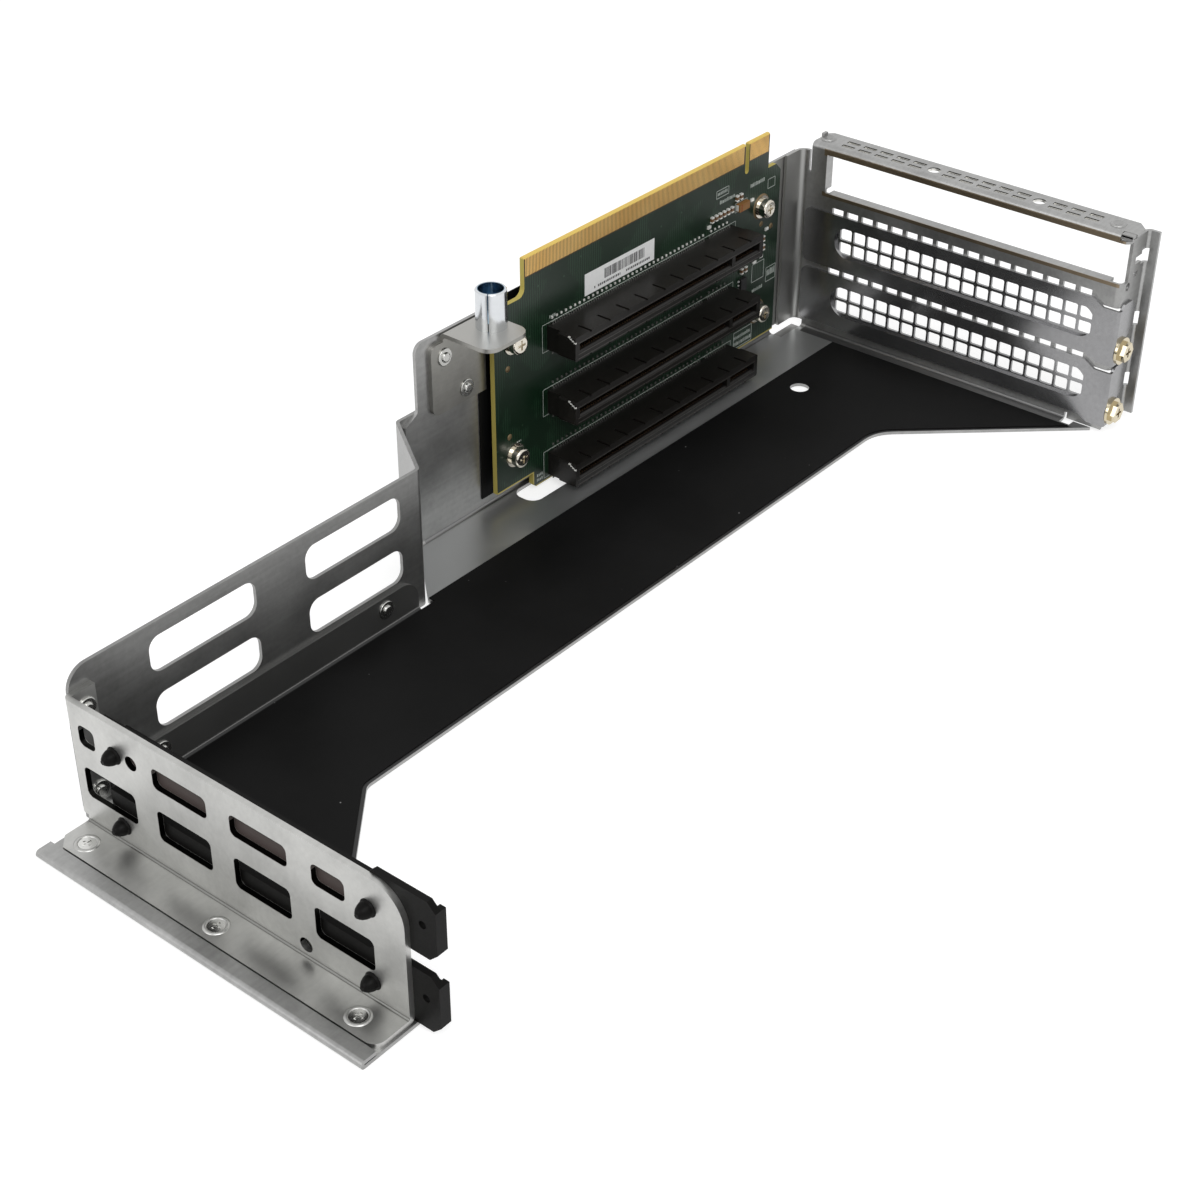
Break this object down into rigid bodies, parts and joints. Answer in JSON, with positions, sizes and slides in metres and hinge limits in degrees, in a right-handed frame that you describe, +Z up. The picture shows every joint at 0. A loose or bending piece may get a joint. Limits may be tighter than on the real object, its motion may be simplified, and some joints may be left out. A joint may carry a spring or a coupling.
{
  "type": "pcie riser card",
  "caption": "Folded sheet-metal riser cage with a riser board, card slots facing an open bay, vented slot covers on its rear panel and card guides on its end wall.",
  "frame": {"origin": "on the underside of the floor, under the outer face of the end wall, mid-width of the side walls' span", "axes": "+X from the end wall towards the rear panel with the slot windows, +Y from the open side towards the riser board, +Z up"},
  "size_m": [0.3431, 0.1345, 0.0744],
  "materials": {
    "zinc_sheet": "satin zinc-plated sheet",
    "bracket_zinc": "satin zinc-plated sheet",
    "cover_zinc": "satin zinc-plated sheet",
    "zinc_sleeve": "bright zinc",
    "film_black": "matte film",
    "board_green": "solder mask, semi-gloss",
    "connector_black": "moulded, satin",
    "guide_black": "moulded, satin",
    "nickel": "bright plated steel",
    "yellow_zinc": "yellow zinc plate",
    "label_white": "matt printed label",
    "capacitor_tan": "plain ceramic",
    "tantalum_orange": "moulded resin",
    "chip_black": "moulded, matt"
  },
  "bodies": {
    "root": {"cage_frame": "zinc_sheet", "side_wall": "zinc_sheet", "hold_down_bracket": "zinc_sheet", "end_bracket": "bracket_zinc", "lower_slot_cover": "cover_zinc", "middle_slot_cover": "cover_zinc", "guide_sleeve": "zinc_sleeve", "floor_film": "film_black", "board_backing": "film_black", "riser_board": "board_green", "lower_slot_connector": "connector_black", "middle_slot_connector": "connector_black", "upper_slot_connector": "connector_black", "lower_card_guide": "guide_black", "upper_card_guide": "guide_black", "board_screws": "nickel", "board_washers": "nickel", "board_spring_washers": "nickel", "board_standoffs": "nickel", "lip_rivets": "nickel", "end_tab_rivets": "nickel", "hold_down_rivets": "nickel", "flange_screws": "nickel", "cover_screws": "yellow_zinc", "board_label": "label_white", "board_capacitors": "capacitor_tan", "board_tantalum": "tantalum_orange", "board_chip": "chip_black"}
  },
  "joints": []
}
